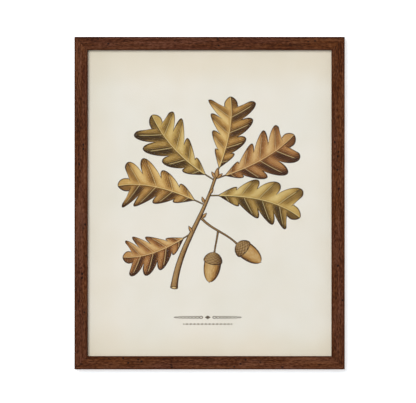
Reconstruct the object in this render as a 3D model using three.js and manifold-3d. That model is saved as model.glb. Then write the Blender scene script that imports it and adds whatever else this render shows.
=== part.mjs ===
// A framed 16 x 20 inch print: four mitred flat-face mouldings in dark stained wood that hold a clear
// acrylic pane, a printed sheet and a hardboard back in their rabbet. Flat steel points keep the back in,
// V-nails close the mitres, a sawtooth hanger carries the frame and two rubber bumpers hold its foot
// off the wall.
//
// Millimetres. +Z is up, +X is to the right as one faces the print, and the print faces -Y.
// The origin is where the wall nail carries the hanger: the root of its middle tooth, on the wall plane.

import * as THREE from "three";
import { mergeVertices } from "three/addons/utils/BufferGeometryUtils.js";
import Module from "manifold-3d";

const wasm = await Module();
wasm.setup();

// ---------------------------------------------------------------- driving dimensions

const SHEET_WIDTH = 406.4; // the 16 x 20 inch printed sheet
const SHEET_HEIGHT = 508;
const LIP_COVER = 4.4; // how far the moulding's lip covers the sheet on each side
const SHEET_PLAY = 1; // between the sheet's edge and the wall of the rabbet
const FACE_WIDTH = 21.6; // front face of the moulding
const MOULDING_DEPTH = 22; // front to back
const LIP_THICKNESS = 7; // front face to the seat of the pane
const STANDOFF = 3; // wall to the back of the moulding, taken up by the hanger and the bumpers
const HANG_DROP = 10.5; // top of the frame down to the point that it hangs from

const EASED_EDGE = 1.3; // radius on the two front edges
const BACK_BREAK = 0.6; // chamfer on the outer back edge
const EDGE_SEGMENTS = 4; // facets round an eased edge
const MITRE_GAP = 0.1; // glue line between two mouldings
const CLEAR = 0.3; // between a piece and the pocket or neighbour that it sits against

const PANE_THICKNESS = 2;
const SHEET_THICKNESS = 0.3;
const BOARD_THICKNESS = 3;

// ---------------------------------------------------------------- sizes that follow from them

const RABBET_WIDTH = LIP_COVER + SHEET_PLAY;
const BACK_LAND = FACE_WIDTH - RABBET_WIDTH; // width of the moulding behind the rabbet
const OUTER_WIDTH = SHEET_WIDTH + 2 * (FACE_WIDTH - LIP_COVER);
const OUTER_HEIGHT = SHEET_HEIGHT + 2 * (FACE_WIDTH - LIP_COVER);

const FRONT = -(STANDOFF + MOULDING_DEPTH); // y of the front face
const BACK = -STANDOFF; // y of the mouldings' back
const TOP = HANG_DROP; // z of the top edge
const BOTTOM = TOP - OUTER_HEIGHT;
const CENTRE = (TOP + BOTTOM) / 2;

// The layers in the rabbet, as depths behind the front face.
const PANE_FRONT = LIP_THICKNESS + CLEAR;
const SHEET_FRONT = PANE_FRONT + PANE_THICKNESS + CLEAR;
const BOARD_FRONT = SHEET_FRONT + SHEET_THICKNESS + CLEAR;
const POINT_FRONT = BOARD_FRONT + BOARD_THICKNESS + CLEAR;

// ---------------------------------------------------------------- materials

const linear = (r, g, b) => new THREE.Color().setRGB(r, g, b, THREE.SRGBColorSpace);

const MATERIALS = {
  wood: new THREE.MeshStandardMaterial({ color: linear(0.337, 0.2, 0.133), roughness: 0.5, metalness: 0 }),
  acrylic: new THREE.MeshStandardMaterial({
    color: linear(0.95, 0.97, 0.97),
    roughness: 0.05,
    metalness: 0,
    transparent: true,
    opacity: 0.15,
  }),
  paper: new THREE.MeshStandardMaterial({ color: linear(0.9, 0.875, 0.82), roughness: 0.9, metalness: 0 }),
  hardboard: new THREE.MeshStandardMaterial({ color: linear(0.47, 0.33, 0.2), roughness: 0.85, metalness: 0 }),
  steel: new THREE.MeshStandardMaterial({ color: linear(0.72, 0.72, 0.71), roughness: 0.4, metalness: 0.9 }),
  brass: new THREE.MeshStandardMaterial({ color: linear(0.8, 0.64, 0.34), roughness: 0.35, metalness: 0.9 }),
  rubber: new THREE.MeshStandardMaterial({ color: linear(0.13, 0.13, 0.14), roughness: 0.8, metalness: 0 }),
};

function part(name, geometry, material) {
  const mesh = new THREE.Mesh(geometry, MATERIALS[material]);
  mesh.name = name;
  return mesh;
}

// ---------------------------------------------------------------- solids

function toSolid(geometry) {
  const bare = geometry.clone();
  bare.deleteAttribute("normal");
  bare.deleteAttribute("uv");
  const merged = mergeVertices(bare, 1e-4);
  const vertProperties = merged.attributes.position.array;
  const triVerts = new Uint32Array(merged.index.array);
  return new wasm.Manifold(new wasm.Mesh({ numProp: 3, vertProperties, triVerts }));
}

function toGeometry(solid) {
  const mesh = solid.getMesh();
  const geometry = new THREE.BufferGeometry();
  geometry.setAttribute("position", new THREE.BufferAttribute(mesh.vertProperties, 3));
  geometry.setIndex(new THREE.BufferAttribute(mesh.triVerts, 1));
  const flat = geometry.toNonIndexed();
  flat.computeVertexNormals();
  return flat;
}

// The body less every cutter. All are geometries in the same frame.
function cut(body, cutters) {
  let solid = toSolid(body);
  for (const cutter of cutters) solid = solid.subtract(toSolid(cutter));
  return toGeometry(solid);
}

function outline(points) {
  return new THREE.Shape(points.map(([x, y]) => new THREE.Vector2(x, y)));
}

function extrude(shape, depth) {
  return new THREE.ExtrudeGeometry(shape, { depth, bevelEnabled: false, curveSegments: EDGE_SEGMENTS });
}

// ---------------------------------------------------------------- moulding
//
// A side of the frame is built in its own frame: x runs inwards from the outer edge, y from the front
// face to the back, and z along the moulding from its first corner to its second.

function mouldingSection() {
  const section = new THREE.Shape();
  section.moveTo(0, MOULDING_DEPTH - BACK_BREAK);
  section.lineTo(0, EASED_EDGE);
  section.absarc(EASED_EDGE, EASED_EDGE, EASED_EDGE, Math.PI, 1.5 * Math.PI, false);
  section.lineTo(FACE_WIDTH - EASED_EDGE, 0);
  section.absarc(FACE_WIDTH - EASED_EDGE, EASED_EDGE, EASED_EDGE, 1.5 * Math.PI, 2 * Math.PI, false);
  section.lineTo(FACE_WIDTH, LIP_THICKNESS);
  section.lineTo(BACK_LAND, LIP_THICKNESS);
  section.lineTo(BACK_LAND, MOULDING_DEPTH);
  section.lineTo(BACK_BREAK, MOULDING_DEPTH);
  section.closePath();
  return section;
}

// The section drawn out along z, with both ends sheared to 45 degrees.
function mitredBar(length) {
  const bar = extrude(mouldingSection(), length);
  const places = bar.attributes.position;
  for (let i = 0; i < places.count; i++) {
    const inset = places.getX(i) + MITRE_GAP / 2;
    places.setZ(i, places.getZ(i) === 0 ? inset : length - inset);
  }
  return bar;
}

// ---------------------------------------------------------------- flat steel points

const POINT = { width: 8, reach: 8.5, sunk: 5, thickness: 0.7, clipped: 1.5, taper: 2.5 };

// A blade that leaves the rabbet's wall at x = 0, with its thickness along +y and centred on z.
function pointGeometry() {
  const half = POINT.width / 2;
  const blade = outline([
    [-POINT.sunk, -half + POINT.taper],
    [-POINT.sunk + POINT.taper, -half],
    [POINT.reach - POINT.clipped, -half],
    [POINT.reach, -half + POINT.clipped],
    [POINT.reach, half - POINT.clipped],
    [POINT.reach - POINT.clipped, half],
    [-POINT.sunk + POINT.taper, half],
    [-POINT.sunk, half - POINT.taper],
  ]);
  return extrude(blade, POINT.thickness).rotateX(Math.PI / 2).translate(0, POINT.thickness, 0);
}

function pointSlot(along) {
  const deep = POINT.sunk + CLEAR;
  const slot = new THREE.BoxGeometry(2 * deep, POINT.thickness + 2 * CLEAR, POINT.width + 2 * CLEAR);
  return slot.translate(BACK_LAND, POINT_FRONT + POINT.thickness / 2, along);
}

// ---------------------------------------------------------------- V-nails

const V_NAIL = { leg: 4.5, thickness: 0.7, length: 10, below: 0.4, insets: [4, 8.5] };

// Two legs at right angles, along +x and +z from the bend at the origin, driven in along -y.
function vNailGeometry(margin, length) {
  const half = V_NAIL.thickness / 2 + margin;
  const leg = V_NAIL.leg + margin;
  const bent = outline([
    [-half, -half],
    [leg, -half],
    [leg, half],
    [half, half],
    [half, leg],
    [-half, leg],
  ]);
  return extrude(bent, length).rotateX(Math.PI / 2);
}

// The pocket is open at the moulding's back. At the far corner it is turned to face the other way.
function vNailPocket(inset, length, farCorner) {
  const over = 1;
  const pocket = vNailGeometry(CLEAR, V_NAIL.below + V_NAIL.length + CLEAR + over);
  if (farCorner) pocket.rotateY(Math.PI / 2);
  return pocket.translate(inset, MOULDING_DEPTH + over, farCorner ? length - inset : inset);
}

// ---------------------------------------------------------------- sawtooth hanger and its nails

const HANGER = { length: 44, height: 9, thickness: 0.9, tab: 7, ramp: 3.2, corner: 2.5, nailInset: 3.5 };
const TOOTH = { pitch: 2.5, depth: 1.5, eachSide: 4 };
const NAIL = { shank: 0.85, head: 2.3, rim: 0.35, dome: 0.8, length: 12, tip: 1.5 };

const NAIL_X = HANGER.length / 2 - HANGER.nailInset;
const NAIL_Z = HANGER.height / 2 - TOOTH.depth;

// Seen from above: flat tabs on the wood, and a raised middle whose outer face is on the wall plane.
function hangerBend() {
  const rise = STANDOFF - HANGER.thickness;
  const end = HANGER.length / 2;
  const foot = end - HANGER.tab;
  const crest = foot - HANGER.ramp;
  const skew = 0.3; // keeps the ramps as thick as the tabs
  return outline([
    [-end, 0],
    [-foot, 0],
    [-crest, rise],
    [crest, rise],
    [foot, 0],
    [end, 0],
    [end, HANGER.thickness],
    [foot + skew, HANGER.thickness],
    [crest + skew, STANDOFF],
    [-crest - skew, STANDOFF],
    [-foot - skew, HANGER.thickness],
    [-end, HANGER.thickness],
  ]);
}

// Seen from the wall: round corners, teeth along the lower edge and a nail hole in each tab.
function hangerFace() {
  const end = HANGER.length / 2;
  const low = -TOOTH.depth;
  const high = HANGER.height - TOOTH.depth;
  const r = HANGER.corner;
  const face = new THREE.Shape();
  face.moveTo(-end + r, low);
  face.lineTo(-(TOOTH.eachSide + 0.5) * TOOTH.pitch, low);
  for (let k = -TOOTH.eachSide; k <= TOOTH.eachSide; k++) {
    face.lineTo(k * TOOTH.pitch, 0);
    face.lineTo((k + 0.5) * TOOTH.pitch, low);
  }
  face.lineTo(end - r, low);
  face.absarc(end - r, low + r, r, -Math.PI / 2, 0, false);
  face.absarc(end - r, high - r, r, 0, Math.PI / 2, false);
  face.absarc(-end + r, high - r, r, Math.PI / 2, Math.PI, false);
  face.absarc(-end + r, low + r, r, Math.PI, 1.5 * Math.PI, false);
  for (const x of [-NAIL_X, NAIL_X]) {
    face.holes.push(new THREE.Path().absarc(x, NAIL_Z, NAIL.shank + CLEAR, 0, 2 * Math.PI, true));
  }
  return face;
}

function hanger() {
  const bend = extrude(hangerBend(), HANGER.height).translate(0, BACK, -TOOTH.depth);
  const face = extrude(hangerFace(), 3 * STANDOFF).rotateX(Math.PI / 2).translate(0, STANDOFF, 0);
  return part("hanger", toGeometry(toSolid(bend).intersect(toSolid(face))), "brass");
}

// Driven along -y: the head's underside is at y = 0.
function hangerNail(name, x) {
  const profile = [
    [0, -NAIL.length],
    [NAIL.shank, -NAIL.length + NAIL.tip],
    [NAIL.shank, 0],
    [NAIL.head, 0],
    [NAIL.head, NAIL.rim],
    [0.55 * NAIL.head, NAIL.dome],
    [0, NAIL.dome],
  ].map(([r, y]) => new THREE.Vector2(r, y));
  const nail = part(name, new THREE.LatheGeometry(profile, 16), "brass");
  nail.position.set(x, BACK + HANGER.thickness, NAIL_Z);
  return nail;
}

function nailHole(x) {
  const deep = NAIL.length + CLEAR;
  const hole = new THREE.CylinderGeometry(NAIL.shank + CLEAR, NAIL.shank + CLEAR, 2 * deep, 16);
  return hole.translate(TOP - NAIL_Z, MOULDING_DEPTH + HANGER.thickness, OUTER_WIDTH / 2 + x);
}

// ---------------------------------------------------------------- the four sides

// One moulding with the steel points in its rabbet and the V-nails of its first corner.
function side({ name, corner, length, points, nails = [], place, quarterTurns }) {
  const cutters = [
    ...points.map((offset) => pointSlot(length / 2 + offset)),
    ...V_NAIL.insets.map((inset) => vNailPocket(inset, length, false)),
    ...V_NAIL.insets.map((inset) => vNailPocket(inset, length, true)),
    ...nails.map(nailHole),
  ];
  const group = new THREE.Group();
  group.add(part(`moulding_${name}`, cut(mitredBar(length), cutters), "wood"));

  points.forEach((offset, i) => {
    const point = part(`steel_point_${name}_${i + 1}`, pointGeometry(), "steel");
    point.position.set(BACK_LAND, POINT_FRONT, length / 2 + offset);
    group.add(point);
  });
  V_NAIL.insets.forEach((inset, i) => {
    const nail = part(`v_nail_${corner}_${i + 1}`, vNailGeometry(0, V_NAIL.length), "steel");
    nail.position.set(inset, MOULDING_DEPTH - V_NAIL.below, inset);
    group.add(nail);
  });

  group.position.set(place[0], FRONT, place[1]);
  group.rotation.y = (quarterTurns * Math.PI) / 2;
  return group;
}

const RIGHT = OUTER_WIDTH / 2;
const UPRIGHT = { length: OUTER_HEIGHT, points: [-150, 0, 150] }; // points are from the side's middle
const LEVEL = { length: OUTER_WIDTH, points: [-95, 95] };

// In order round the frame: each is turned a quarter further than the one before it.
const SIDES = [
  { ...UPRIGHT, name: "left", corner: "bottom_left", place: [-RIGHT, BOTTOM] },
  { ...LEVEL, name: "top", corner: "top_left", place: [-RIGHT, TOP], nails: [-NAIL_X, NAIL_X] },
  { ...UPRIGHT, name: "right", corner: "top_right", place: [RIGHT, TOP] },
  { ...LEVEL, name: "bottom", corner: "bottom_right", place: [RIGHT, BOTTOM] },
];

// ---------------------------------------------------------------- what the rabbet holds

function layer(name, depth, thickness, trim, material) {
  const size = [SHEET_WIDTH - trim, thickness, SHEET_HEIGHT - trim];
  const mesh = part(name, new THREE.BoxGeometry(...size), material);
  mesh.position.set(0, FRONT + depth + thickness / 2, CENTRE);
  return mesh;
}

// ---------------------------------------------------------------- bumpers

const BUMPER = { radius: 5, flat: 3, shoulder: 1.6, insetX: 22 };

function bumper(name, x) {
  const profile = [
    [0, 0],
    [BUMPER.radius, 0],
    [BUMPER.radius, BUMPER.shoulder],
    [0.86 * BUMPER.radius, 0.85 * STANDOFF],
    [BUMPER.flat, STANDOFF],
    [0, STANDOFF],
  ].map(([r, y]) => new THREE.Vector2(r, y));
  const mesh = part(name, new THREE.LatheGeometry(profile, 24), "rubber");
  mesh.position.set(x, BACK, BOTTOM + BACK_LAND / 2);
  return mesh;
}

// ---------------------------------------------------------------- the framed print

const framedPrint = new THREE.Group();
SIDES.forEach((given, quarterTurns) => framedPrint.add(side({ ...given, quarterTurns })));
framedPrint.add(
  layer("pane", PANE_FRONT, PANE_THICKNESS, 0, "acrylic"),
  layer("print_sheet", SHEET_FRONT, SHEET_THICKNESS, 0, "paper"),
  layer("back_board", BOARD_FRONT, BOARD_THICKNESS, 1, "hardboard"),
  hanger(),
  hangerNail("hanger_nail_left", -NAIL_X),
  hangerNail("hanger_nail_right", NAIL_X),
  bumper("bumper_left", -RIGHT + BUMPER.insetX),
  bumper("bumper_right", RIGHT - BUMPER.insetX),
);

export default framedPrint;
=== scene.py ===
"""Looks of a framed botanical print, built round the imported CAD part.

The CAD nodes keep their shapes and get node materials here. The printed design is made of thin films of
ink on the sheet, behind the pane: an oak sprig with acorns, and a plain printer's ornament below it. A thin
film of glue fills each mitre.
"""

import math

import bmesh
import bpy
import numpy as np
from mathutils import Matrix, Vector


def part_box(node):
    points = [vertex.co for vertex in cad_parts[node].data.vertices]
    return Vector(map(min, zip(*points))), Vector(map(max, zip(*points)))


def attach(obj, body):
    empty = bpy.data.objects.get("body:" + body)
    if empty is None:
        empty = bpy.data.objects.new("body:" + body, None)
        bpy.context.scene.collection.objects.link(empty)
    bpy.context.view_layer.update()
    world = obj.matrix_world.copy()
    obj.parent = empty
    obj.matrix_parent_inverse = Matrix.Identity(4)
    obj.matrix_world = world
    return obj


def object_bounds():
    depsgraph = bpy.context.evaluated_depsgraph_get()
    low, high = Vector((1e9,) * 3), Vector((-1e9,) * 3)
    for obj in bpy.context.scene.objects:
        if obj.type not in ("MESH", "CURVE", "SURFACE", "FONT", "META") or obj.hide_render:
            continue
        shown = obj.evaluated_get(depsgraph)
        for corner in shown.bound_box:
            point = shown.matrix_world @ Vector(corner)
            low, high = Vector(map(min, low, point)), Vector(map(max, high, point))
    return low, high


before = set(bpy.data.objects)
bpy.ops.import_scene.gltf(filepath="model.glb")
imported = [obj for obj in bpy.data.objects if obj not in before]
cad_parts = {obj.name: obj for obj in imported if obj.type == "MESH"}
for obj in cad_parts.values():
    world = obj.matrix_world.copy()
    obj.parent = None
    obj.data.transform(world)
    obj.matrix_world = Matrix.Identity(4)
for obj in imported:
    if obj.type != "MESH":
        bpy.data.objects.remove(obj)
cad_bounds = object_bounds()

# ------------------------------------------------------------------ places, in metres, from the frame

MM = 0.001

sheet_low, sheet_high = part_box("print_sheet")
pane_low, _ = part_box("pane")
stile_low, stile_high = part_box("moulding_left")

FACE_WIDTH = stile_high.x - stile_low.x
FRONT_Y = stile_low.y
BACK_Y = stile_high.y
OUTER_X = cad_bounds[1].x
TOP_Z = cad_bounds[1].z
BOTTOM_Z = cad_bounds[0].z
CENTRE_Z = (TOP_Z + BOTTOM_Z) / 2
HALF_HEIGHT = (TOP_Z - BOTTOM_Z) / 2
OPENING_X = OUTER_X - FACE_WIDTH  # half the opening's width
OPENING_Z = HALF_HEIGHT - FACE_WIDTH  # half its height
EASED_EDGE = 1.35 * MM  # depth of the front face with its eased edges
PANE_GAP = 0.3 * MM  # from the pane to its seat
LIP_Y = pane_low.y - PANE_GAP  # the seat of the pane, at the back of the lip
SHEET_PLAY = 1 * MM  # from the sheet's edge to the wall of the rabbet

# ------------------------------------------------------------------ node materials

MIX_INPUTS = (0, 6, 7)  # a Mix node's factor and its two colours
MIX_OUTPUT = 2  # its mixed colour


def srgb(red, green, blue):
    """A colour as it looks on a screen, 0 to 255, as the linear RGBA that a node takes."""
    parts = [c / 255 for c in (red, green, blue)]
    return tuple(c / 12.92 if c <= 0.04045 else ((c + 0.055) / 1.055) ** 2.4 for c in parts) + (1.0,)


class Shade:
    """A material's node tree, with one short call for each kind of node."""

    def __init__(self, name):
        self.material = bpy.data.materials.new(name)
        self.material.use_nodes = True
        self.tree = self.material.node_tree
        self.tree.nodes.clear()
        self.output = self.add("ShaderNodeOutputMaterial")

    def add(self, kind, **settings):
        node = self.tree.nodes.new(kind)
        for key, value in settings.items():
            setattr(node, key, value)
        return node

    def put(self, socket, value):
        """Links value to the socket if it is a node's output, and sets it otherwise. None leaves it alone."""
        if isinstance(value, bpy.types.NodeSocket):
            self.tree.links.new(value, socket)
        elif value is not None:
            socket.default_value = value

    def place(self):
        """The point in the row frame: every object sits at the origin, so object coordinates give it."""
        return self.add("ShaderNodeTexCoord").outputs["Object"]

    def attribute(self, name):
        return self.split(self.add("ShaderNodeAttribute", attribute_name=name).outputs["Vector"])

    def split(self, vector):
        node = self.add("ShaderNodeSeparateXYZ")
        self.put(node.inputs[0], vector)
        return list(node.outputs)

    def join(self, x, y, z):
        node = self.add("ShaderNodeCombineXYZ")
        for socket, value in zip(node.inputs, (x, y, z)):
            self.put(socket, value)
        return node.outputs[0]

    def math(self, operation, a, b=None, clamp=False):
        node = self.add("ShaderNodeMath", operation=operation, use_clamp=clamp)
        self.put(node.inputs[0], a)
        self.put(node.inputs[1], b)
        return node.outputs[0]

    def stretch(self, vector, scale):
        node = self.add("ShaderNodeMapping")
        self.put(node.inputs["Vector"], vector)
        node.inputs["Scale"].default_value = scale
        return node.outputs[0]

    def noise(self, vector, scale, detail, roughness=0.5):
        """Noise about 0.5. Scale is in cycles for each unit of the vector, as one number or three."""
        scales = scale if isinstance(scale, tuple) else (scale, scale, scale)
        node = self.add("ShaderNodeTexNoise")
        self.put(node.inputs["Vector"], self.stretch(vector, scales))
        node.inputs["Scale"].default_value = 1
        node.inputs["Detail"].default_value = detail
        node.inputs["Roughness"].default_value = roughness
        return node.outputs["Fac"]

    def cells(self, vector, scale, feature):
        """Distance to the cells' edges or, for F1, to their middles, in cell widths."""
        node = self.add("ShaderNodeTexVoronoi", feature=feature)
        self.put(node.inputs["Vector"], vector)
        node.inputs["Scale"].default_value = scale
        return node.outputs["Distance"]

    def span(self, value, low, high, to_low=0.0, to_high=1.0):
        """Value taken smoothly from low..high to to_low..to_high, and held at the ends."""
        node = self.add("ShaderNodeMapRange", interpolation_type="SMOOTHSTEP")
        self.put(node.inputs["Value"], value)
        self.put(node.inputs["From Min"], low)
        self.put(node.inputs["From Max"], high)
        self.put(node.inputs["To Min"], to_low)
        self.put(node.inputs["To Max"], to_high)
        return node.outputs[0]

    def ramp(self, value, stops):
        """A colour for each value, through (place, colour) stops."""
        node = self.add("ShaderNodeValToRGB")
        elements = node.color_ramp.elements
        while len(elements) < len(stops):
            elements.new(1.0)
        for element, (place, colour) in zip(elements, stops):
            element.position = place
            element.color = colour
        self.put(node.inputs[0], value)
        return node.outputs[0]

    def mix(self, first, second, share, blend="MIX"):
        node = self.add("ShaderNodeMix", data_type="RGBA", blend_type=blend)
        for index, value in zip(MIX_INPUTS, (share, first, second)):
            self.put(node.inputs[index], value)
        return node.outputs[MIX_OUTPUT]

    def weigh(self, *terms):
        """0.5 plus the sum of each value's distance from 0.5 times its weight."""
        total = 0.5
        for value, weight in terms:
            part = self.math("MULTIPLY", self.math("SUBTRACT", value, 0.5), weight)
            total = self.math("ADD", part, total)
        return total

    def bump(self, height, distance, strength):
        node = self.add("ShaderNodeBump")
        self.put(node.inputs["Height"], height)
        node.inputs["Distance"].default_value = distance
        node.inputs["Strength"].default_value = strength
        return node.outputs[0]

    def finish(self, colour, roughness, normal, **plain):
        """Closes the tree with a Principled shader. Its plain sockets are given with _ for each space."""
        shader = self.add("ShaderNodeBsdfPrincipled")
        self.put(shader.inputs["Base Color"], colour)
        self.put(shader.inputs["Roughness"], roughness)
        self.put(shader.inputs["Normal"], normal)
        for key, value in plain.items():
            shader.inputs[key.replace("_", " ")].default_value = value
        self.tree.links.new(shader.outputs[0], self.output.inputs["Surface"])
        return self.material


# ------------------------------------------------------------------ materials of the frame

GRAIN_SHIFT = 3.7  # metres between the boards that two mouldings are cut from, in the grain's pattern
WOOD_STOPS = (
    (0.2, srgb(44, 18, 8)),
    (0.38, srgb(69, 33, 13)),
    (0.5, srgb(84, 45, 22)),
    (0.62, srgb(96, 56, 33)),
    (0.8, srgb(112, 70, 46)),
)
COOL_TINT, NO_TINT, WARM_TINT = (0.95, 0.94, 1.18, 1), (1, 1, 1, 1), (1.05, 1.0, 0.8, 1)
HUE_STOPS = ((0.34, COOL_TINT), (0.5, NO_TINT), (0.66, WARM_TINT))
PORE_COLOUR = srgb(40, 20, 12)
PIT_COLOUR = srgb(22, 11, 9)
# colour of the face's darkened edges: stain, and painted shade where the eased edges turn from the light
EDGE_STAIN_AND_SHADE = srgb(66, 30, 12)
RAW_WOOD_STOPS = ((0.3, srgb(150, 112, 76)), (0.55, srgb(186, 148, 106)), (0.8, srgb(204, 170, 128)))
RAW_PORE_COLOUR = srgb(120, 84, 54)
SEEPAGE = (0.15 * MM, 0.55 * MM)  # least and most that the stain on the outside has crept into the back
STAINED_WALL = 0.3 * MM  # depth of the stain in the lip's wall and in the mitres
SEAT_MARGIN = 0.05 * MM  # keeps the pane's seat out of the stain


def from_outside(shade, x, z, upright):
    """How far in a point lies from the frame's outside, on a moulding that stands upright or lies level."""
    if upright:
        return shade.math("SUBTRACT", OUTER_X, shade.math("ABSOLUTE", x))
    height = shade.math("SUBTRACT", z, CENTRE_Z)
    return shade.math("SUBTRACT", HALF_HEIGHT, shade.math("ABSOLUTE", height))


def wood_pits(shade, grain):
    """Large dark pits, and the patches of wood that they lie in."""
    patches = shade.span(shade.noise(grain, (16, 40, 40), 2), 0.53, 0.57)
    pits = shade.span(shade.cells(shade.stretch(grain, (0.75, 1, 1)), 125, "F1"), 0.13, 0.24, 1.0, 0.0)
    return shade.math("MULTIPLY", pits, patches), patches


def edge_stain_and_shade(shade, inward):
    """Darker along the two edges of the face: stain that gathers there, and painted shade of the eased edges.
    """
    to_edge = shade.math("MINIMUM", inward, shade.math("SUBTRACT", FACE_WIDTH, inward))
    return shade.span(to_edge, 1.0 * MM, 3.0 * MM, 0.75, 0.0)


def stain_reach(shade, upright, streaks):
    """1 where the stain has reached: the face, the outside, the lip's wall and the mitre in the lip."""
    x, y, z = shade.split(shade.place())
    inward = from_outside(shade, x, z, upright)
    outside = shade.math("LESS_THAN", inward, shade.span(streaks, 0.3, 0.7, *SEEPAGE))
    face = shade.math("LESS_THAN", y, FRONT_Y + EASED_EDGE)
    on_lip = shade.math("GREATER_THAN", inward, FACE_WIDTH - STAINED_WALL)
    from_mitre = shade.math("SUBTRACT", inward, from_outside(shade, x, z, not upright))
    on_mitre = shade.math("LESS_THAN", shade.math("ABSOLUTE", from_mitre), STAINED_WALL)
    in_lip = shade.math("LESS_THAN", y, LIP_Y - SEAT_MARGIN)
    lip = shade.math("MULTIPLY", in_lip, shade.math("MAXIMUM", on_lip, on_mitre))
    return shade.math("MAXIMUM", shade.math("MAXIMUM", outside, face), lip)


def stained_wood(name, upright, board, tone):
    """Dark stained wood with its grain along the moulding. The back and the rabbet are left unstained."""
    shade = Shade(name)
    x, y, z = shade.split(shade.place())
    along, across = (z, x) if upright else (x, z)
    grain = shade.join(shade.math("ADD", along, GRAIN_SHIFT * board), across, y)

    boards = shade.noise(grain, (3, 8, 8), 1)
    broad = shade.noise(grain, (9, 60, 60), 3)
    streaks = shade.noise(grain, (20, 330, 330), 4, 0.62)
    flecks = shade.noise(grain, (170, 560, 560), 3, 0.6)
    fibres = shade.noise(grain, (170, 2300, 2300), 2)
    pores = shade.span(shade.noise(grain, (60, 1100, 1100), 2), 0.55, 0.66)
    pits, patches = wood_pits(shade, grain)

    level = shade.weigh((boards, 0.4), (broad, 0.55), (streaks, 0.85), (flecks, 1.45), (fibres, 0.5))
    hue = shade.math("SUBTRACT", shade.noise(grain, (8, 60, 60), 3), shade.math("MULTIPLY", patches, 0.06))
    stain = shade.ramp(shade.math("ADD", level, tone), WOOD_STOPS)
    stain = shade.mix(stain, shade.ramp(hue, HUE_STOPS), 1.0, "MULTIPLY")
    stain = shade.mix(stain, PORE_COLOUR, shade.math("MULTIPLY", pores, 0.6))
    stain = shade.mix(stain, PIT_COLOUR, shade.math("MULTIPLY", pits, 0.95))
    # stain, and painted shade of the eased edges, along both edges of the face
    stain = shade.mix(stain, EDGE_STAIN_AND_SHADE, edge_stain_and_shade(shade, from_outside(shade, x, z, upright)))

    bare = shade.weigh((boards, 0.5), (broad, 0.7), (streaks, 1.0), (flecks, 0.25), (fibres, 0.5))
    raw = shade.mix(shade.ramp(bare, RAW_WOOD_STOPS), RAW_PORE_COLOUR, shade.math("MULTIPLY", pores, 0.5))
    colour = shade.mix(raw, stain, stain_reach(shade, upright, streaks))

    hollows = shade.math("MULTIPLY", shade.math("MAXIMUM", pores, pits), 0.6)
    height = shade.math("SUBTRACT", shade.weigh((streaks, 0.5), (fibres, 0.5)), hollows)
    roughness = shade.span(streaks, 0.3, 0.7, 0.78, 0.58)
    return shade.finish(colour, roughness, shade.bump(height, 0.1 * MM, 0.35), Specular_IOR_Level=0.06)


HARDBOARD_STOPS = ((0.25, srgb(92, 62, 38)), (0.5, srgb(122, 86, 54)), (0.75, srgb(146, 108, 72)))
PALE_FIBRE = srgb(172, 136, 98)


def hardboard(name):
    """Brown felted board, with single pale fibres lying both ways."""
    shade = Shade(name)
    place = shade.place()
    cloud = shade.noise(place, 14, 3)
    felt = shade.noise(place, 420, 4, 0.7)
    upright = shade.noise(place, (900, 900, 300), 2)
    lying = shade.noise(place, (300, 900, 900), 2)
    fibre = shade.span(shade.math("MAXIMUM", upright, lying), 0.6, 0.72)
    colour = shade.ramp(shade.weigh((cloud, 0.25), (felt, 0.8)), HARDBOARD_STOPS)
    colour = shade.mix(colour, PALE_FIBRE, shade.math("MULTIPLY", fibre, 0.35))
    return shade.finish(colour, 0.8, shade.bump(felt, 0.15 * MM, 0.5), Specular_IOR_Level=0.25)


def metal(name, dark, light, rough):
    """Stamped sheet metal, with a drawn grain and small stains."""
    shade = Shade(name)
    place = shade.place()
    drawn = shade.noise(place, (300, 2500, 4200), 2)
    stain = shade.noise(place, 260, 4)
    colour = shade.ramp(shade.weigh((stain, 0.9), (drawn, 0.4)), ((0.3, dark), (0.62, light)))
    roughness = shade.span(stain, 0.3, 0.7, rough + 0.14, rough - 0.04)
    return shade.finish(colour, roughness, shade.bump(drawn, 0.02 * MM, 0.4), Metallic=1.0)


def rubber(name):
    """Black moulded rubber with some dust on it."""
    shade = Shade(name)
    grain = shade.noise(shade.place(), 1800, 3)
    dust = shade.noise(shade.place(), 160, 3)
    colour = shade.ramp(dust, ((0.35, srgb(28, 28, 30)), (0.7, srgb(52, 51, 50))))
    return shade.finish(colour, 0.72, shade.bump(grain, 0.06 * MM, 0.5), Specular_IOR_Level=0.3)


COAT_IOR = 1.1  # sets how much the coated pane mirrors
COAT_TINT = srgb(238, 242, 250)
LET_THROUGH = ((0.3, (0.985, 0.99, 0.985, 1)), (0.7, (0.995, 0.995, 0.99, 1)))  # of the light behind it


def clear_acrylic(name):
    """A clear pane with a coat against reflections, so it mirrors little but at a low angle."""
    shade = Shade(name)
    wave = shade.noise(shade.place(), 9, 1)
    mirror = shade.add("ShaderNodeBsdfGlossy")
    mirror.inputs["Color"].default_value = COAT_TINT
    shade.put(mirror.inputs["Roughness"], shade.span(wave, 0.3, 0.7, 0.03, 0.06))
    through = shade.add("ShaderNodeBsdfTransparent")
    shade.put(through.inputs["Color"], shade.ramp(wave, LET_THROUGH))
    fresnel = shade.add("ShaderNodeFresnel")
    fresnel.inputs["IOR"].default_value = COAT_IOR
    entering = shade.math("SUBTRACT", 1, shade.add("ShaderNodeNewGeometry").outputs["Backfacing"])
    both = shade.add("ShaderNodeMixShader")
    shade.put(both.inputs[0], shade.math("MULTIPLY", fresnel.outputs[0], entering))
    shade.put(both.inputs[1], through.outputs[0])
    shade.put(both.inputs[2], mirror.outputs[0])
    shade.put(shade.output.inputs["Surface"], both.outputs[0])
    return shade.material


# ------------------------------------------------------------------ paper

LEAST_AGED = (12 * MM, CENTRE_Z - 8 * MM)  # x and z of the place on the page that has kept its colour best
PAPER, PAPER_SIDE, PAPER_END = srgb(233, 228, 219), srgb(229, 223, 211), srgb(228, 219, 202)
PAPER_CORNER = srgb(220, 209, 191)
PAPER_SPOT = srgb(196, 172, 134)
MOTTLE_STOPS = ((0.3, srgb(250, 248, 244)), (0.6, srgb(255, 255, 255)))


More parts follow.
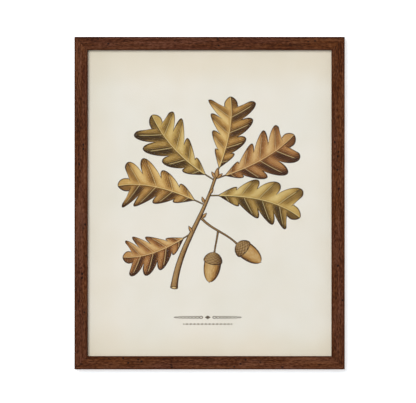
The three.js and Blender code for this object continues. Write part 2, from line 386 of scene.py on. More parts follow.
def page_place(shade):
    """How far a point is from the least aged place, across and up, as shares of half the opening."""
    x, _, z = shade.split(shade.place())
    shares = []
    for value, middle, half in ((x, LEAST_AGED[0], OPENING_X), (z, LEAST_AGED[1], OPENING_Z)):
        distance = shade.math("ABSOLUTE", shade.math("SUBTRACT", value, middle))
        shares.append(shade.math("DIVIDE", distance, half))
    return shares


def paper_fibres(shade):
    """The sheet's fibres, which show through every ink too."""
    return shade.noise(shade.place(), 1500, 4, 0.7)


def fibre_bump(shade, fibres):
    return shade.bump(fibres, 0.05 * MM, 0.35)


def aged_paper(name):
    """Cream paper, browner towards its edges."""
    shade = Shade(name)
    place = shade.place()
    u, v = page_place(shade)
    drift = shade.math("MULTIPLY", shade.math("SUBTRACT", shade.noise(place, 9, 3), 0.5), 0.12)
    side = shade.span(shade.math("ADD", u, drift), 0.74, 1.0)
    end = shade.span(shade.math("ADD", v, drift), 0.74, 0.98)
    colour = shade.mix(PAPER, PAPER_SIDE, side)
    colour = shade.mix(colour, PAPER_END, shade.math("MULTIPLY", end, 0.85))
    corner = shade.math("MULTIPLY", side, end)
    colour = shade.mix(colour, PAPER_CORNER, shade.math("MULTIPLY", corner, 0.5))

    fibres = paper_fibres(shade)
    cloud = shade.noise(place, 24, 4)
    mottle = shade.ramp(shade.weigh((cloud, 0.5), (fibres, 0.5)), MOTTLE_STOPS)
    colour = shade.mix(colour, mottle, 1.0, "MULTIPLY")
    spots = shade.span(shade.noise(place, 170, 2), 0.74, 0.8)
    colour = shade.mix(colour, PAPER_SPOT, shade.math("MULTIPLY", spots, 0.25))
    return shade.finish(colour, 0.88, fibre_bump(shade, fibres), Specular_IOR_Level=0.1)


# ------------------------------------------------------------------ inks

OCHRE = ((0.0, srgb(56, 36, 22)), (0.25, srgb(109, 74, 40)), (0.5, srgb(163, 120, 64)),
         (0.75, srgb(197, 157, 93)), (1.0, srgb(219, 190, 130)))
RUSSET = ((0.0, srgb(52, 32, 22)), (0.25, srgb(106, 66, 38)), (0.5, srgb(156, 106, 62)),
          (0.75, srgb(188, 144, 90)), (1.0, srgb(214, 180, 126)))
OLIVE = ((0.0, srgb(52, 38, 23)), (0.25, srgb(101, 76, 40)), (0.5, srgb(153, 120, 63)),
         (0.75, srgb(189, 157, 91)), (1.0, srgb(215, 191, 131)))
BARK = ((0.0, srgb(46, 30, 20)), (0.3, srgb(90, 62, 38)), (0.6, srgb(138, 102, 62)),
        (1.0, srgb(190, 156, 106)))
NUT = ((0.0, srgb(56, 36, 22)), (0.3, srgb(118, 80, 42)), (0.6, srgb(172, 128, 72)),
       (1.0, srgb(222, 194, 138)))
CUP = ((0.0, srgb(44, 30, 20)), (0.35, srgb(92, 64, 40)), (0.65, srgb(140, 106, 66)),
       (1.0, srgb(192, 162, 112)))
OUTLINE = srgb(58, 38, 26)
THIN_INK = srgb(176, 164, 146)
BARE_FIBRE = srgb(228, 220, 200)
HATCH_PITCH = 2.8  # mm from one engraved line to the next on a leaf


def press(shade, colour):
    """Closes an ink's tree: the ink lies a little unevenly on the paper's fibres."""
    fibres = paper_fibres(shade)
    worn = shade.span(fibres, 0.5, 0.8, 0.0, 0.16)
    colour = shade.mix(colour, BARE_FIBRE, worn)
    return shade.finish(colour, 0.86, fibre_bump(shade, fibres), Specular_IOR_Level=0.1)


def edge_line(shade, colour, edge, tone):
    """A dark outline, broader where the form turns from the light. Edge is the distance to it in mm."""
    breadth = shade.span(tone, 0.2, 0.8, 1.9, 1.1)
    inside = shade.math("SUBTRACT", breadth, edge)
    return shade.mix(colour, OUTLINE, shade.span(inside, -0.25, 0.15, 0.0, 0.92))


def leaf_ink(name, stops):
    """Hand-coloured engraving of a leaf: light veins, a net of veinlets, and fine lines in the shadows."""
    shade = Shade(name)
    vein, rib, edge = shade.attribute("lines")
    along, turn, tone = shade.attribute("form")
    place = shade.place()

    blotch = shade.noise(place, 55, 3)
    tone_here = shade.weigh((tone, 1.0), (blotch, 0.34))
    net = shade.span(shade.cells(place, 260, "DISTANCE_TO_EDGE"), 0.0, 0.07, 0.09, 0.0)
    tone_here = shade.math("ADD", tone_here, net)
    wobble = shade.math("MULTIPLY", shade.noise(place, 90, 2), 2.4)
    turns = shade.math("MULTIPLY", along, 2 * math.pi / HATCH_PITCH)
    wave = shade.math("SINE", shade.math("ADD", turns, wobble))
    cut = shade.span(tone_here, 0.25, 0.75, -0.6, 1.1)
    hatch = shade.span(shade.math("SUBTRACT", wave, cut), 0.0, 0.5, 0.0, 0.24)
    tone_here = shade.math("SUBTRACT", tone_here, hatch)

    lit_side = shade.span(turn, -0.1, 0.25, 0.35, 1.0)
    shadow_side = shade.span(turn, -0.2, 0.2, 1.0, 0.0)
    by_vein = shade.math("MULTIPLY", shade.span(vein, 0.7, 2.4, 0.3, 0.0), lit_side)
    by_rib = shade.math("MULTIPLY", shade.span(rib, 1.1, 3.0, 0.3, 0.0), shadow_side)
    tone_here = shade.math("SUBTRACT", tone_here, shade.math("MAXIMUM", by_vein, by_rib), clamp=True)
    colour = shade.ramp(tone_here, stops)

    vein_line = shade.span(vein, 0.35, 0.75, 0.75, 0.0)
    rib_line = shade.span(rib, 0.75, 1.15, 0.9, 0.0)
    colour = shade.mix(colour, stops[-1][1], shade.math("MAXIMUM", vein_line, rib_line))
    return press(shade, edge_line(shade, colour, edge, tone))


def round_ink(name, stops, closeness):
    """A round form, such as a twig or a nut, with engraved lines along it, this close together."""
    shade = Shade(name)
    _, across, edge = shade.attribute("lines")
    along, _, tone = shade.attribute("form")
    place = shade.place()
    lengthwise = shade.join(shade.math("MULTIPLY", along, 0.12), shade.math("MULTIPLY", across, 9), 0)
    streak = shade.noise(lengthwise, 1, 3)
    blotch = shade.noise(place, 90, 2)
    tone_here = shade.weigh((tone, 1.0), (streak, 0.45), (blotch, 0.2))
    wave = shade.math("SINE", shade.math("MULTIPLY", across, closeness))
    cut = shade.span(tone_here, 0.2, 0.7, -0.5, 1.2)
    hatch = shade.span(shade.math("SUBTRACT", wave, cut), 0.0, 0.5, 0.0, 0.2)
    colour = shade.ramp(shade.math("SUBTRACT", tone_here, hatch, clamp=True), stops)
    return press(shade, edge_line(shade, colour, edge, tone))


def cup_ink(name, stops):
    """An acorn's cup: each cell of the slanting net is a scale, light at its tip."""
    shade = Shade(name)
    rising, falling, edge = shade.attribute("lines")
    _, _, tone = shade.attribute("form")
    first, second = shade.math("FRACT", rising), shade.math("FRACT", falling)
    tip = shade.math("MULTIPLY", shade.math("ADD", first, second), 0.5)
    rim = shade.math("MINIMUM", first, second)
    groove = shade.span(rim, 0.0, 0.2, 0.42, 0.0)
    tone_here = shade.weigh((tone, 1.0), (tip, 0.5), (shade.noise(shade.place(), 300, 2), 0.25))
    colour = shade.ramp(shade.math("SUBTRACT", tone_here, groove, clamp=True), stops)
    return press(shade, edge_line(shade, colour, edge, tone))


def ornament_ink(name, colour):
    """Plain ink, thin in places."""
    shade = Shade(name)
    thin = shade.span(shade.noise(shade.place(), 500, 3), 0.45, 0.75, 0.0, 0.5)
    return press(shade, shade.mix(colour, THIN_INK, thin))


# ------------------------------------------------------------------ drawing on the page
#
# A motif is a film over a grid of places (u, v), in mm from the page's centre, u to the right and v up.
# Two vector attributes tell its ink where it is:
#   "lines" holds the lines that the ink draws, and last the distance to the outline in mm. On a leaf the
#   first two are the distances in mm to a side vein and to the rib, on a scaly form two counts of scales,
#   and on a round form the second is the way round.
#   "form" holds the way along in mm, the way across from -1 to 1, and the tone from 0, dark, to 1, light.
# A value that the form's own ink doesn't read is a filler.

FILM_GAP = 0.05  # mm from one film of ink to the next, where motifs lie over each other
FILM_THICKNESS = 0.04  # mm
WELD = 0.001 * MM  # corners this close are one
LIGHT = np.array([-0.6, 0.8])  # where the light comes from in the drawing


def thicken(mesh, offset):
    """Welds a flat mesh's corners and closes it into a thin solid, as thick as this offset."""
    shape = bmesh.new()
    shape.from_mesh(mesh)
    bmesh.ops.remove_doubles(shape, verts=shape.verts, dist=WELD)
    grown = bmesh.ops.extrude_face_region(shape, geom=shape.faces[:])["geom"]
    far_side = [item for item in grown if isinstance(item, bmesh.types.BMVert)]
    bmesh.ops.translate(shape, verts=far_side, vec=offset)
    bmesh.ops.recalc_face_normals(shape, faces=shape.faces)
    shape.to_mesh(mesh)
    shape.free()


def place_piece(name, mesh, material):
    """Puts a piece of the scene's own in place, to ride on the part."""
    mesh.materials.append(material)
    piece = bpy.data.objects.new(name, mesh)
    bpy.context.scene.collection.objects.link(piece)
    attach(piece, "root")


def film(name, level, grid, lines, form, ink):
    """One motif as a thin film of ink, this many gaps in front of the sheet."""
    rows, columns = grid.shape[:2]
    index = np.arange(rows * columns).reshape(rows, columns)
    faces = np.stack([index[:-1, :-1], index[:-1, 1:], index[1:, 1:], index[1:, :-1]], -1).reshape(-1, 4)
    flat = grid.reshape(-1, 2)
    y = sheet_low.y - level * FILM_GAP * MM
    places = np.column_stack([flat[:, 0] * MM, np.full(len(flat), y), flat[:, 1] * MM + CENTRE_Z])

    mesh = bpy.data.meshes.new(name)
    mesh.from_pydata(places.tolist(), [], faces.tolist())
    for key, values in (("lines", lines), ("form", form)):
        layer = mesh.attributes.new(key, "FLOAT_VECTOR", "POINT")
        layer.data.foreach_set("vector", np.stack(values, -1).astype(np.float32).ravel())
    thicken(mesh, (0, FILM_THICKNESS * MM, 0))
    place_piece(name, mesh, ink)


def bezier(controls, t):
    """Points and unit tangents at t of a cubic curve."""
    p0, p1, p2, p3 = (np.array(p, float) for p in controls)
    t = np.asarray(t, float)[:, None]
    place = (1 - t) ** 3 * p0 + 3 * (1 - t) ** 2 * t * p1 + 3 * (1 - t) * t**2 * p2 + t**3 * p3
    along = (1 - t) ** 2 * (p1 - p0) + 2 * (1 - t) * t * (p2 - p1) + t**2 * (p3 - p2)
    return place, along / np.linalg.norm(along, axis=1, keepdims=True)


def length_of(places):
    """Length of the line through these places."""
    return np.linalg.norm(np.diff(places, axis=0), axis=1).sum()


def left_of(direction):
    return np.stack([-direction[..., 1], direction[..., 0]], -1)


def turned(vector, degrees):
    cos, sin = math.cos(math.radians(degrees)), math.sin(math.radians(degrees))
    return np.array([vector[0] * cos - vector[1] * sin, vector[0] * sin + vector[1] * cos])


def heading(degrees):
    """The direction at this angle from u."""
    return turned(np.array([1.0, 0.0]), degrees)


def spine(base, tip, leave, arrive):
    """A curve from base to tip. It leaves and arrives at these angles in degrees off the straight line."""
    base, tip = np.array(base, float), np.array(tip, float)
    reach = (tip - base) / 3
    return base, base + turned(reach, leave), tip - turned(reach, arrive), tip


def smooth(value, low, high):
    """0 below low and 1 above high, with a smooth step between them."""
    x = np.clip((value - low) / (high - low), 0, 1)
    return x * x * (3 - 2 * x)


# ------------------------------------------------------------------ oak leaves

LEAF_ROWS = 260
HALF_COLUMNS = 17
STALK_SHARE = 0.1  # of the spine, before the blade starts
STALK_HALF = 1.5  # mm, its half width
SIDE_LOBES = 4
WIDEST = 0.573  # share of the blade where it is widest
END_LOBE = 0.82  # share of the blade where the end lobe starts
FIRST_VEIN = 0.025  # share of the blade where side veins may start
LEAN = math.radians(30)  # of the side veins towards the tip
NO_VEIN = 6  # mm, far enough from a vein for the ink to draw none


def lobe_count(blade, rng):
    """How many lobes lie between the blade's base and each place on it. The end lobe counts as a half."""
    way = np.minimum(blade / END_LOBE, 1)
    end = np.clip((blade - END_LOBE) / (1 - END_LOBE), 0, 1)
    return way**0.92 * SIDE_LOBES + 0.5 * end + rng.uniform(-0.16, 0.16) * np.sin(np.pi * way)


def lobed_width(blade, count, half, rng):
    """Half width of the blade at each place: uneven, and cut in by a sinus between each two lobes."""
    uneven = 1 + 0.09 * np.sin(2 * np.pi * (blade * rng.uniform(1.2, 2.0) + rng.uniform()))
    envelope = (blade / WIDEST) ** 0.9 * ((1 - blade) / (1 - WIDEST)) ** 0.67
    envelope = envelope * (1 - 0.5 * smooth(blade, 0.78, 0.86))
    sinus = 0.5 - 0.2 * blade
    lobe = sinus + (1 - sinus) * np.abs(np.sin(np.pi * count)) ** 0.5
    return np.maximum(half * uneven * envelope * lobe, STALK_HALF * (1 - blade) ** 0.5)


def to_outline(grid, across, width, out):
    """Distance to the leaf's outline, in mm."""
    rim = np.gradient(grid[:, -1], axis=0)
    rim /= np.linalg.norm(rim, axis=1, keepdims=True) + 1e-9
    slant = np.clip(np.abs(across[:, 0] * rim[:, 1] - across[:, 1] * rim[:, 0]), 0.25, 1)
    return (1 - out) * (width * slant)[:, None]


def to_side_vein(blade, count, spacing, out):
    """Distance to the nearest side vein, in mm. The veins run out before they reach the outline."""
    from_vein = (count % 1 - 0.5)[:, None] * spacing * math.cos(LEAN)
    without = ((blade < FIRST_VEIN) | (blade > END_LOBE))[:, None]
    return np.abs(from_vein) + 1.2 * smooth(out, 0.72, 1.0) + NO_VEIN * without


def leaf_tone(side, blade, count, out):
    """Lighter on the side of the light, swelling between the side veins, darker along the outline."""
    phase = 2 * np.pi * count[:, None]
    relief = (0.13 * np.cos(phase) + 0.17 * side * np.sin(phase)) * smooth(out, 0.0, 0.25)
    relief = relief * (1 - 0.4 * smooth(out, 0.8, 1.0)) * (1 - 0.8 * smooth(blade, 0.76, 0.9))[:, None]
    return 0.54 + 0.15 * side + relief - 0.17 * smooth(out, 0.74, 1.0)


def half_leaf(side, centre, ahead, blade, spacing, half, rng):
    """One side of a leaf, from rib to outline. Side is 1 where it faces the light and -1 elsewhere."""
    out = np.linspace(0, 1, HALF_COLUMNS)[None]
    count = lobe_count(blade, rng)
    width = lobed_width(blade, count, half, rng)
    lean = LEAN * (1 - 0.85 * smooth(blade, 0.76, 0.9))[:, None]
    sideways = left_of(ahead) * np.sign(left_of(ahead).mean(0) @ LIGHT) * side
    across = np.cos(lean) * sideways + np.sin(lean) * ahead
    reach = width[:, None] * out
    bend = 0.08 * reach * out
    grid = centre[:, None] + reach[..., None] * across[:, None] + bend[..., None] * ahead[:, None]
    return {
        "grid": grid,
        "vein": to_side_vein(blade, count, spacing, out),
        "rib": reach,
        "edge": to_outline(grid, across, width, out),
        "turn": side * out + 0 * reach,
        "tone": leaf_tone(side, blade, count, out),
    }


def leaf(name, level, base, tip, leave, arrive, half, seed, ink):
    """A lobed leaf on its stalk. Half is half its greatest width. Its rib narrows towards the tip."""
    rng = np.random.default_rng(seed)
    s = np.linspace(0, 1, LEAF_ROWS)
    centre, ahead = bezier(spine(base, tip, leave, arrive), s)
    length = length_of(centre)
    blade = np.clip((s - STALK_SHARE) / (1 - STALK_SHARE), 0, 1)
    spacing = length * END_LOBE / SIDE_LOBES
    lit, dark = (half_leaf(side, centre, ahead, blade, spacing, half, rng) for side in (1, -1))
    whole = {key: np.concatenate([lit[key][:, ::-1], dark[key][:, 1:]], 1) for key in lit}
    along = np.repeat((s * length)[:, None], 2 * HALF_COLUMNS - 1, 1)
    lines = whole["vein"], whole["rib"] + 0.5 * s[:, None], whole["edge"]
    film(name, level, whole["grid"], lines, (along, whole["turn"], whole["tone"]), ink)


# ------------------------------------------------------------------ round forms: twigs, stalks and nuts

ROUND_COLUMNS = 17
SWELL_REACH = 0.03  # share of the way over which a swollen end falls off
CUT_RINGS, CUT_SPOKES = 12, 40


def round_form(name, level, controls, half, ink, rows=60):
    """A form with a round section along a curve. Half gives its half width for each share of the way."""
    s = np.linspace(0, 1, rows)
    t = np.linspace(-1, 1, ROUND_COLUMNS)
    centre, ahead = bezier(controls, s)
    length = length_of(centre)
    width = half(s)
    side = left_of(ahead)
    grid = centre[:, None] + (width[:, None] * t)[..., None] * side[:, None]
    around = np.arcsin(t) / (math.pi / 2)
    facing = side @ LIGHT
    tone = 0.72 * np.sqrt(1 - t**2)[None] + 0.34 * t[None] * facing[:, None] + 0.02
    ends = np.minimum(s, 1 - s)[:, None] * length
    edge = np.minimum((1 - np.abs(t))[None] * width[:, None], ends + 0.4)
    along = np.repeat((s * length)[:, None], ROUND_COLUMNS, 1)
    across = np.repeat(around[None], rows, 0)
    film(name, level, grid, (0 * along, across, edge), (along, across, tone), ink)


def tapered(first, last, swell):
    """Half widths from first to last, thicker by swell at both ends."""

    def half(s):
        swollen = np.exp(-s / SWELL_REACH) + np.exp(-(1 - s) / SWELL_REACH)
        return first + (last - first) * s + swell * swollen

    return half


def cut_end(name, level, centre, ahead, half, ink):
    """The slanting cut across a twig's end, with its rings. Half gives its half width and half height."""
    r = np.linspace(0, 1, CUT_RINGS)[:, None]
    a = np.linspace(0, 2 * math.pi, CUT_SPOKES)[None]
    side = left_of(ahead)
    grid = (
        np.array(centre, float)
        + (half[0] * r * np.cos(a))[..., None] * side
        + (half[1] * r * np.sin(a))[..., None] * ahead
    )
    flat = 0 * a + r
    tone = 0.86 + 0.1 * np.sin(3 * math.pi * flat) - 0.2 * flat**3 + 0.12 * flat * np.cos(a)
    film(name, level, grid, (0 * flat, 0 * flat, (1 - flat) * half[1]), (flat, flat, tone), ink)


# ------------------------------------------------------------------ acorns and buds

NUT_LENGTH, NUT_HALF = 35.0, 13.5
NUT_IN_CUP = 6
NUT_BEND = 3  # degrees that the nut's curve leaves and arrives at
CUP_LENGTH, CUP_HALF = 17.0, 15.8
CUP_ROWS, CUP_ROUND, CUP_BULGE = 5, 5.5, 4.2
BUD_LENGTH, BUD_HALF = 13.0, 3.8
BUD_ROWS, BUD_ROUND, BUD_BULGE = 5, 3, 0.5
SCALY_ROWS, SCALY_COLUMNS = 44, 41
FIRST_SCALE = 20  # keeps the count of scales above 0 everywhere


def nut_half(s):
    """Half width of a nut, which ends in a small point."""
    body = (1 - np.clip(s / 0.94, 0, 1) ** 2.7) ** 0.55
    return NUT_HALF * body * (0.94 + 0.06 * np.sin(math.pi * s)) + 0.9 * (1 - smooth(s, 0.93, 1.0))


def cup_half(s):
    """Half width of a cup, which opens from the stalk."""
    return CUP_HALF * np.sin(math.pi / 2 * s**0.62) ** 0.9 * (1 - 0.05 * smooth(s, 0.85, 1.0))


def bud_half(s):
    """Half width of a bud."""
    return BUD_HALF * (0.55 + 0.45 * smooth(s, 0, 0.35)) * (1 - s**2.4) ** 0.8 + 0.1


def scaly_form(name, level, start, ahead, length, half, scale_rows, scales_round, bulge, ink):
    """A round form covered in scales. Bulge bends its rows forward, as rings seen at a slant."""
    s = np.linspace(0, 1, SCALY_ROWS)
    t = np.linspace(-1, 1, SCALY_COLUMNS)
    width = half(s)
    side = left_of(ahead)
    grid = (
        (np.array(start, float) + np.outer(s * length, ahead))[:, None]
        + (width[:, None] * t)[..., None] * side
        + (bulge * s[:, None] * (1 - t**2))[..., None] * ahead
    )
    around = np.arcsin(t)[None] / math.pi * scales_round
    row = FIRST_SCALE + (scale_rows * s**0.8)[:, None]
    tone = 0.30 + 0.42 * np.sqrt(1 - t**2)[None] + 0.3 * (t * (side @ LIGHT))[None]
    tone = tone - 0.1 * smooth(s, 0.9, 1)[:, None]
    edge = np.minimum((1 - np.abs(t))[None] * width[:, None], ((1 - s) * length)[:, None] + 0.2)
    along = np.repeat((s * length)[:, None], SCALY_COLUMNS, 1)
    film(name, level, grid, (row + around, row - around, edge), (along, 0 * along, tone), ink)


def acorn(name, level, stem_end, direction, inks):
    """A cup at the stalk's end with the nut hanging out of it, along the direction in degrees from +u."""
    ahead = heading(direction)
    rim = np.array(stem_end, float) + ahead * CUP_LENGTH
    nut = spine(rim - ahead * NUT_IN_CUP, rim + ahead * NUT_LENGTH, NUT_BEND, -NUT_BEND)
    round_form(f"{name}_nut", level, nut, nut_half, inks["nut"], rows=70)
    scales = CUP_ROWS, CUP_ROUND, CUP_BULGE
    scaly_form(f"{name}_cup", level + 1, stem_end, ahead, CUP_LENGTH, cup_half, *scales, inks["cup"])


def bud(name, level, place, direction, size, ink):
    """A scaly bud, pointing along the direction in degrees from +u."""
    scales = BUD_ROWS, BUD_ROUND, BUD_BULGE
    length = size * BUD_LENGTH
    scaly_form(name, level, place, heading(direction), length, lambda s: size * bud_half(s), *scales, ink)


# ------------------------------------------------------------------ the printed design

TWIG = ((-58, -138), (-50, -70), (-12, -30), (10, 44))
RIGHT_ACORN, LEFT_ACORN = (44, -66), (8, -80)  # where their stalks end
STALK = ((-14, -24), (4, -44), (26, -48), RIGHT_ACORN)
BRANCH = ((14, -43.5), (12, -60), (10, -66), LEFT_ACORN)


def leaves():
    """Six leaves. After its level each has its base, tip, angles at both ends, half width and seed."""
    ochre = leaf_ink("ink_ochre", OCHRE)
    russet = leaf_ink("ink_russet", RUSSET)
    olive = leaf_ink("ink_olive", OLIVE)
    leaf("print_leaf_low_left", 1, (-31, -50), (-142, -88), 14, -24, 40, 11, russet)
    leaf("print_leaf_left", 2, (-10, -2), (-150, 28), -14, 24, 45, 12, ochre)
    leaf("print_leaf_right", 2, (-3, 12), (148, -24), 16, -26, 44, 13, olive)
    leaf("print_leaf_high_right", 1, (10, 40), (138, 112), -12, 18, 46, 14, russet)
    leaf("print_leaf_high_left", 1, (7, 38), (-94, 144), 16, -20, 46, 15, olive)
    leaf("print_leaf_top", 2, (10, 44), (34, 174), -12, 18, 44, 16, ochre)


def wood_and_buds(nut_ink):
    """The twig with its cut end, the stalks of the acorns, and the buds."""
    bark = round_ink("ink_bark", BARK, closeness=11)
    round_form("print_twig", 3, TWIG, tapered(5.6, 2.3, 1.0), bark, rows=120)
    _, directions = bezier(TWIG, [0.0])
    cut_end("print_twig_cut", 4, TWIG[0], directions[0], (6.5, 2.6), nut_ink)
    round_form("print_acorn_stalk", 4, STALK, tapered(2.1, 1.5, 0.6), bark)
    round_form("print_acorn_branch", 3, BRANCH, tapered(1.7, 1.4, 0.5), bark)
    bud_ink = cup_ink("ink_bud", RUSSET)
    for place, direction, size, level in (
        ((11.5, 42.7), 84, 1.15, 5),
        ((9, 42), 122, 0.85, 4),
        ((13, 41), 42, 0.85, 4),
        ((0.4, 15.4), 56, 0.8, 4),
        ((-8.7, 0.8), 112, 0.8, 4),
        ((-29, -47), 118, 0.85, 4),
        ((-11.6, -23.8), 48, 0.8, 5),
    ):
        bud(f"print_bud_{direction}", level, place, direction, size, bud_ink)


def oak_sprig():
    """A twig with six leaves, buds at its end and in the axils, and two acorns hanging from it."""
    inks = {"nut": round_ink("ink_nut", NUT, closeness=30), "cup": cup_ink("ink_cup", CUP)}
    leaves()
    wood_and_buds(inks["nut"])
    acorn("print_acorn_right", 4, RIGHT_ACORN, -38, inks)
    acorn("print_acorn_left", 4, LEFT_ACORN, -100, inks)


ORNAMENT_U, ORNAMENT_V = -3.0, -186.5  # the middle of the lozenge
BRAID_START, BRAID_LENGTH = 8, 47  # to each side of the lozenge's middle
BRAID_WAVES, BRAID_POINTS = 4, 200
BRAID_SWING, BRAID_HALF = 1.9, 0.66
LOZENGE_REACH, LOZENGE_HALF = 4.8, 3.1  # half its width and half its height
LOZENGE_POINT = 0.02  # half height left at its points
RULE_V, RULE_REACH = -197.5, 40  # its height on the page and half its length
RULE_HALF, BEAD_HALF = 0.14, 1.15  # half width of the rule, and what a bead adds to it
BEADS, RULE_POINTS = 13, 300
ORNAMENT_DARK, ORNAMENT_PALE = srgb(92, 80, 68), srgb(138, 127, 112)


def stroke(name, level, u, v, half, ink):
    """A line of ink through the places (u, v), with this half width at each of them."""
    line = np.stack([u, v], -1)
    ahead = np.gradient(line, axis=0)
    ahead /= np.linalg.norm(ahead, axis=1, keepdims=True)
    sideways = half[:, None] * left_of(ahead)
    grid = np.stack([line - sideways, line + sideways], 1)
    flat = np.zeros(grid.shape[:2])
    film(name, level, grid, (flat, flat, flat), (flat, flat, flat), ink)


def ornament():
    """A printer's ornament: two braids on either side of a lozenge, and a beaded rule below."""
    dark = ornament_ink("ink_ornament", ORNAMENT_DARK)
    pale = ornament_ink("ink_beads", ORNAMENT_PALE)
    s = np.linspace(0, 1, BRAID_POINTS)
    for side, sign in (("left", -1), ("right", 1)):
        place = ORNAMENT_U + sign * (BRAID_START + BRAID_LENGTH * s)
        swing = BRAID_SWING * np.sin(2 * BRAID_WAVES * math.pi * s) * (1 - 0.6 * smooth(s, 0.7, 1.0))
        half = BRAID_HALF * (1 - 0.3 * s)
        stroke(f"print_braid_{side}_over", 2, place, ORNAMENT_V + swing, half, dark)
        stroke(f"print_braid_{side}_under", 1, place, ORNAMENT_V - swing, half, dark)
    t = np.linspace(-1, 1, 3)
    lozenge = LOZENGE_HALF * (1 - np.abs(t)) + LOZENGE_POINT
    stroke("print_lozenge", 1, ORNAMENT_U + LOZENGE_REACH * t, ORNAMENT_V + 0 * t, lozenge, dark)
    t = np.linspace(-1, 1, RULE_POINTS)
    beads = RULE_HALF + BEAD_HALF * np.abs(np.sin(BEADS / 2 * math.pi * t)) ** 1.3
    stroke("print_beads", 1, ORNAMENT_U + RULE_REACH * t, RULE_V + 0 * t, beads, pale)


# ------------------------------------------------------------------ glue in the mitres

GLUE_RECESS = 0.35 * MM  # from the wood's surface down to the glue
GLUE_DEPTH = 10 * MM  # behind the front face, short of the V-nails
GLUE_HALF = 0.03 * MM  # half thickness of the film


def glue(name):
    """Wood glue, dark with the stain that ran into the joint."""
    shade = Shade(name)
    grain = shade.noise(shade.place(), 900, 3)
    colour = shade.ramp(grain, ((0.35, srgb(30, 15, 9)), (0.7, srgb(52, 28, 16))))
    return shade.finish(colour, 0.6, shade.bump(grain, 0.02 * MM, 0.4), Specular_IOR_Level=0.2)


def mitre_glue(name, right, up, material):
    """The film of glue in one mitre, with the moulding's section down to the V-nails. Right and up are 1 or
    -1 and say which corner it is in."""
    lip_depth = LIP_Y - FRONT_Y
    land = OUTER_X - sheet_high.x - SHEET_PLAY
    section = (
        (GLUE_RECESS, GLUE_RECESS),
        (FACE_WIDTH - GLUE_RECESS, GLUE_RECESS),
        (FACE_WIDTH - GLUE_RECESS, lip_depth - GLUE_RECESS),
        (land - GLUE_RECESS, lip_depth - GLUE_RECESS),
        (land - GLUE_RECESS, GLUE_DEPTH),
        (GLUE_RECESS, GLUE_DEPTH),
    )
    shift = GLUE_HALF / math.sqrt(2)
    places = []
    for inward, depth in section:
        x = right * (OUTER_X - inward - shift)
        z = CENTRE_Z + up * (HALF_HEIGHT - inward + shift)
        places.append((x, FRONT_Y + depth, z))
    mesh = bpy.data.meshes.new(name)
    mesh.from_pydata(places, [], [tuple(range(len(places)))])
    thicken(mesh, (right * 2 * shift, 0, -up * 2 * shift))
    place_piece(name, mesh, material)


def glued_mitres():
    film_of_glue = glue("glue")
    for level, up in (("top", 1), ("bottom", -1)):
        for side, right in (("left", -1), ("right", 1)):
            mitre_glue(f"mitre_glue_{level}_{side}", right, up, film_of_glue)


# ------------------------------------------------------------------ dress the CAD nodes


def wear(node, material):
    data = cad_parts[node].data
    data.materials.clear()
    data.materials.append(material)


def dress():
    """Gives every CAD node its material. Each moulding is cut from a board of its own."""
    for side, upright, board, tone in (
        ("left", True, 1, 0.0),
        ("top", False, 2, 0.01),
        ("right", True, 3, 0.0),
        ("bottom", False, 4, 0.02),
    ):
        wear(f"moulding_{side}", stained_wood(f"wood_{side}", upright, board, tone))
    wear("pane", clear_acrylic("acrylic"))
    wear("print_sheet", aged_paper("paper"))
    wear("back_board", hardboard("hardboard"))
    steel = metal("steel", dark=srgb(120, 118, 114), light=srgb(196, 196, 194), rough=0.36)
    brass = metal("brass", dark=srgb(150, 116, 58), light=srgb(214, 178, 104), rough=0.3)
    black = rubber("rubber")
    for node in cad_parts:
        if node.startswith(("steel_point", "v_nail")):
            wear(node, steel)
        elif node.startswith("hanger"):
            wear(node, brass)
        elif node.startswith("bumper"):
            wear(node, black)


# ------------------------------------------------------------------ stage, light and camera

PICTURE_WIDTH = 416  # pixels
MM_PER_PIXEL = 1.6303  # at the frame's front
PICTURE_CENTRE_OFF = (-1.57, 1.6)  # pixels from the frame's centre to the picture's, right and up
CAMERA_DISTANCE = 8.0  # from the frame's front
SENSOR = 36.0  # mm
CLIP_NEAR, CLIP_FAR = 0.05, 60
WALL_GAP = 0.5 * MM  # behind the frame
FLOOR_DROP = 0.34  # below the frame
STAGE_REACH = 14.0  # to each side and forward
WALL_GLOW, FLOOR_GLOW = 0.51, 0.62
WORLD_LIGHT, WORLD_SEEN = 0.24, 1.0  # strength as light, and as the camera sees it


def stage_material(name, glow):
    """Pale paint that is seen from its front only, so that the frame's back can be looked at."""
    shade = Shade(name)
    mottle = shade.noise(shade.place(), 3, 3)
    paint = shade.add("ShaderNodeBsdfPrincipled")
    pale = shade.ramp(mottle, ((0.3, srgb(236, 241, 247)), (0.7, srgb(240, 245, 251))))
    shade.put(paint.inputs["Base Color"], pale)
    paint.inputs["Roughness"].default_value = 0.95
    paint.inputs["Specular IOR Level"].default_value = 0.0
    paint.inputs["Emission Color"].default_value = (1, 1, 1, 1)
    paint.inputs["Emission Strength"].default_value = glow
    clear = shade.add("ShaderNodeBsdfTransparent")
    both = shade.add("ShaderNodeMixShader")
    shade.put(both.inputs[0], shade.add("ShaderNodeNewGeometry").outputs["Backfacing"])
    shade.put(both.inputs[1], paint.outputs[0])
    shade.put(both.inputs[2], clear.outputs[0])
    shade.put(shade.output.inputs["Surface"], both.outputs[0])
    return shade.material


def stage_sheet(name, corners, material):
    """A sheet of the stage. It takes the frame's shadow, and throws no shadow or light itself."""
    mesh = bpy.data.meshes.new(name)
    mesh.from_pydata(corners, [], [(0, 1, 2, 3)])
    mesh.materials.append(material)
    sheet = bpy.data.objects.new(name, mesh)
    bpy.context.scene.collection.objects.link(sheet)
    sheet.visible_shadow = sheet.visible_diffuse = sheet.visible_glossy = False


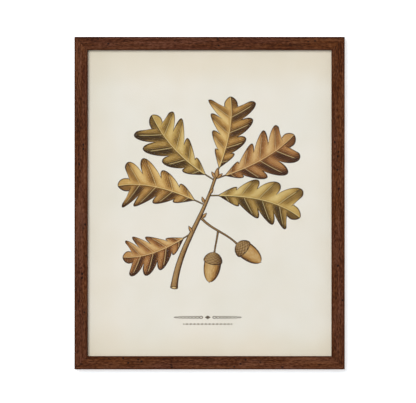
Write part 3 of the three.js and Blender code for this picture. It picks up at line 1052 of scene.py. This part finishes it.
def stage():
    floor_z = BOTTOM_Z - FLOOR_DROP
    front = [(-STAGE_REACH, -STAGE_REACH, floor_z), (STAGE_REACH, -STAGE_REACH, floor_z)]
    foot = [(STAGE_REACH, WALL_GAP, floor_z), (-STAGE_REACH, WALL_GAP, floor_z)]
    head = [(STAGE_REACH, WALL_GAP, STAGE_REACH), (-STAGE_REACH, WALL_GAP, STAGE_REACH)]
    stage_sheet("stage_wall", foot[::-1] + head, stage_material("stage_wall_paint", WALL_GLOW))
    stage_sheet("stage_floor", front + foot, stage_material("stage_floor_paint", FLOOR_GLOW))


def area_light(name, place, target, size, power):
    """A round soft light that the camera doesn't see."""
    lamp = bpy.data.lights.new(name, "AREA")
    lamp.shape = "DISK"
    lamp.size = size
    lamp.energy = power
    light = bpy.data.objects.new(name, lamp)
    light.location = place
    light.rotation_euler = (Vector(target) - Vector(place)).to_track_quat("-Z", "Y").to_euler()
    light.visible_camera = False
    bpy.context.scene.collection.objects.link(light)


def lights():
    front, back = (0, FRONT_Y, CENTRE_Z), (0, BACK_Y, CENTRE_Z)
    area_light("key", place=(-3.3, -12.25, CENTRE_Z + 3.3), target=front, size=6.9, power=1368)
    area_light("fill", place=(0.9, -9.6, CENTRE_Z - 0.7), target=front, size=4.8, power=75)
    area_light("back_light", place=(0.9, 2.6, CENTRE_Z + 0.9), target=back, size=1.35, power=62)


def surroundings():
    """A white world, brighter to the camera than to the scene."""
    world = bpy.data.worlds.new("studio")
    world.use_nodes = True
    nodes, links = world.node_tree.nodes, world.node_tree.links
    background = nodes["Background"]
    background.inputs["Color"].default_value = (1, 1, 1, 1)
    rays = nodes.new("ShaderNodeLightPath")
    strength = nodes.new("ShaderNodeMapRange")
    strength.inputs["To Min"].default_value = WORLD_LIGHT
    strength.inputs["To Max"].default_value = WORLD_SEEN
    links.new(rays.outputs["Is Camera Ray"], strength.inputs["Value"])
    links.new(strength.outputs[0], background.inputs["Strength"])
    bpy.context.scene.world = world


def camera():
    data = bpy.data.cameras.new("camera")
    data.sensor_width = SENSOR
    data.lens = SENSOR * CAMERA_DISTANCE / (PICTURE_WIDTH * MM_PER_PIXEL * MM)
    data.clip_start, data.clip_end = CLIP_NEAR, CLIP_FAR
    eye = bpy.data.objects.new("camera", data)
    right, up = (MM_PER_PIXEL * MM * pixels for pixels in PICTURE_CENTRE_OFF)
    eye.location = (right, FRONT_Y - CAMERA_DISTANCE, CENTRE_Z + up)
    eye.rotation_euler = (math.pi / 2, 0, 0)
    bpy.context.scene.collection.objects.link(eye)
    bpy.context.scene.camera = eye
    bpy.context.scene.view_settings.view_transform = "Standard"


camera()
stage()
lights()
surroundings()
dress()
glued_mitres()
oak_sprig()
ornament()
